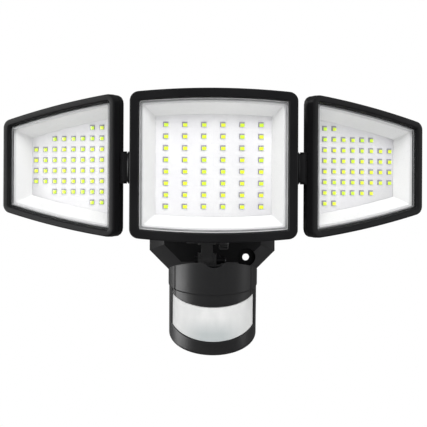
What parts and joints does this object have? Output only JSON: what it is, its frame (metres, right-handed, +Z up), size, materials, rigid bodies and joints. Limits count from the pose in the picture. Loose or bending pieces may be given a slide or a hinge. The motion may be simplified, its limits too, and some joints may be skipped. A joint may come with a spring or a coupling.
{
  "type": "motion sensing security floodlight",
  "caption": "Wall floodlight with a square middle lamp, a tapered lamp hinged on each side and a drum-shaped motion sensor below.",
  "frame": {"origin": "middle of the base's flat wall face", "axes": "+X to the right of someone facing the lamp, +Y into the wall, +Z up; the lamps face -Y"},
  "size_m": [0.335, 0.11, 0.2085],
  "materials": {
    "black_shell": "fine satin texture",
    "black_metal": "satin powder coat",
    "black_hardware": "black oxide",
    "zinc": "zinc plated",
    "rubber": "matte",
    "white_plastic": "matte white",
    "led_board": "white solder mask",
    "clear_lens": "clear",
    "frosted_lens": "milky translucent",
    "circuit_board": "green solder mask",
    "capacitor_can": "sleeved"
  },
  "bodies": {
    "base": {"base_housing": "black_shell", "base_back_plate": "zinc", "wire_grommet": "rubber", "plate_screw_left": "black_hardware", "plate_screw_right": "black_hardware", "driver_board": "circuit_board", "driver_transformer": "zinc", "driver_capacitor": "capacitor_can", "support_arm": "black_shell", "arm_screw_left": "black_hardware", "arm_screw_right": "black_hardware"},
    "centre_head": {"centre_bezel": "black_shell", "centre_lens": "clear_lens", "centre_gasket": "rubber", "centre_reflector": "white_plastic", "centre_led_board": "led_board", "centre_rear_housing": "black_metal", "centre_yoke": "black_metal", "centre_rear_screw_1": "black_hardware", "centre_rear_screw_2": "black_hardware", "centre_rear_screw_3": "black_hardware", "centre_rear_screw_4": "black_hardware", "yoke_screw_left": "black_hardware", "yoke_screw_right": "black_hardware", "head_tilt_bolt": "black_hardware"},
    "clamp_knob": {"head_clamp_knob": "black_shell"},
    "left_pivot": {"left_hinge_stub": "black_shell", "left_hinge_pin": "black_hardware", "left_pivot_clip": "black_hardware"},
    "left_head": {"left_bezel": "black_shell", "left_lens": "clear_lens", "left_gasket": "rubber", "left_reflector": "white_plastic", "left_led_board": "led_board", "left_rear_housing": "black_metal", "left_rear_screw_1": "black_hardware", "left_rear_screw_2": "black_hardware"},
    "right_pivot": {"right_hinge_stub": "black_shell", "right_hinge_pin": "black_hardware", "right_pivot_clip": "black_hardware"},
    "right_head": {"right_bezel": "black_shell", "right_lens": "clear_lens", "right_gasket": "rubber", "right_reflector": "white_plastic", "right_led_board": "led_board", "right_rear_housing": "black_metal", "right_rear_screw_1": "black_hardware", "right_rear_screw_2": "black_hardware"},
    "sensor_arm": {"sensor_yoke": "black_shell", "sensor_swivel_clip": "black_hardware", "sensor_tilt_bolt": "black_hardware"},
    "sensor_head": {"sensor_front_cap": "black_shell", "sensor_rear_shell": "black_shell", "sensor_lens": "frosted_lens", "sensor_bottom_cover": "black_shell", "sensor_board": "circuit_board", "pyro_sensor": "zinc"},
    "time_dial": {"time_knob": "white_plastic"},
    "lux_dial": {"lux_knob": "white_plastic"},
    "range_dial": {"range_knob": "white_plastic"}
  },
  "joints": [
    {"name": "lamp_tilt", "type": "hinge", "parent": "base", "child": "centre_head", "pos_m": [0, -0.058, -0.018], "axis": [1, 0, 0], "range_deg": [-18, 13]},
    {"name": "clamp_knob_turn", "type": "hinge", "parent": "centre_head", "child": "clamp_knob", "pos_m": [0, -0.058, -0.018], "axis": [1, 0, 0], "range_deg": [-180, 0]},
    {"name": "left_tilt", "type": "hinge", "parent": "centre_head", "child": "left_pivot", "pos_m": [-0.0702, -0.096, 0.0355], "axis": [1, 0, 0], "range_deg": [-25, 25]},
    {"name": "left_swing", "type": "hinge", "parent": "left_pivot", "child": "left_head", "pos_m": [-0.0702, -0.096, 0.0355], "axis": [0, 0, -1], "range_deg": [-65, 15]},
    {"name": "right_tilt", "type": "hinge", "parent": "centre_head", "child": "right_pivot", "pos_m": [0.0702, -0.096, 0.0355], "axis": [1, 0, 0], "range_deg": [-25, 25]},
    {"name": "right_swing", "type": "hinge", "parent": "right_pivot", "child": "right_head", "pos_m": [0.0702, -0.096, 0.0355], "axis": [0, 0, 1], "range_deg": [-65, 15]},
    {"name": "sensor_tilt", "type": "hinge", "parent": "base", "child": "sensor_arm", "pos_m": [0, -0.07, -0.037], "axis": [1, 0, 0], "range_deg": [-14, 8]},
    {"name": "sensor_swivel", "type": "hinge", "parent": "sensor_arm", "child": "sensor_head", "pos_m": [0, -0.06662, -0.06089], "axis": [0, -0.2419, 0.9703], "range_deg": [-75, 75]},
    {"name": "time_dial_turn", "type": "hinge", "parent": "sensor_head", "child": "time_dial", "pos_m": [-0.014, -0.05791, -0.09582], "axis": [0, -0.4617, 0.887], "range_deg": [-135, 135]},
    {"name": "lux_dial_turn", "type": "hinge", "parent": "sensor_head", "child": "lux_dial", "pos_m": [0, -0.05791, -0.09582], "axis": [0, -0.4617, 0.887], "range_deg": [-135, 135]},
    {"name": "range_dial_turn", "type": "hinge", "parent": "sensor_head", "child": "range_dial", "pos_m": [0.014, -0.05791, -0.09582], "axis": [0, -0.4617, 0.887], "range_deg": [-135, 135]}
  ]
}
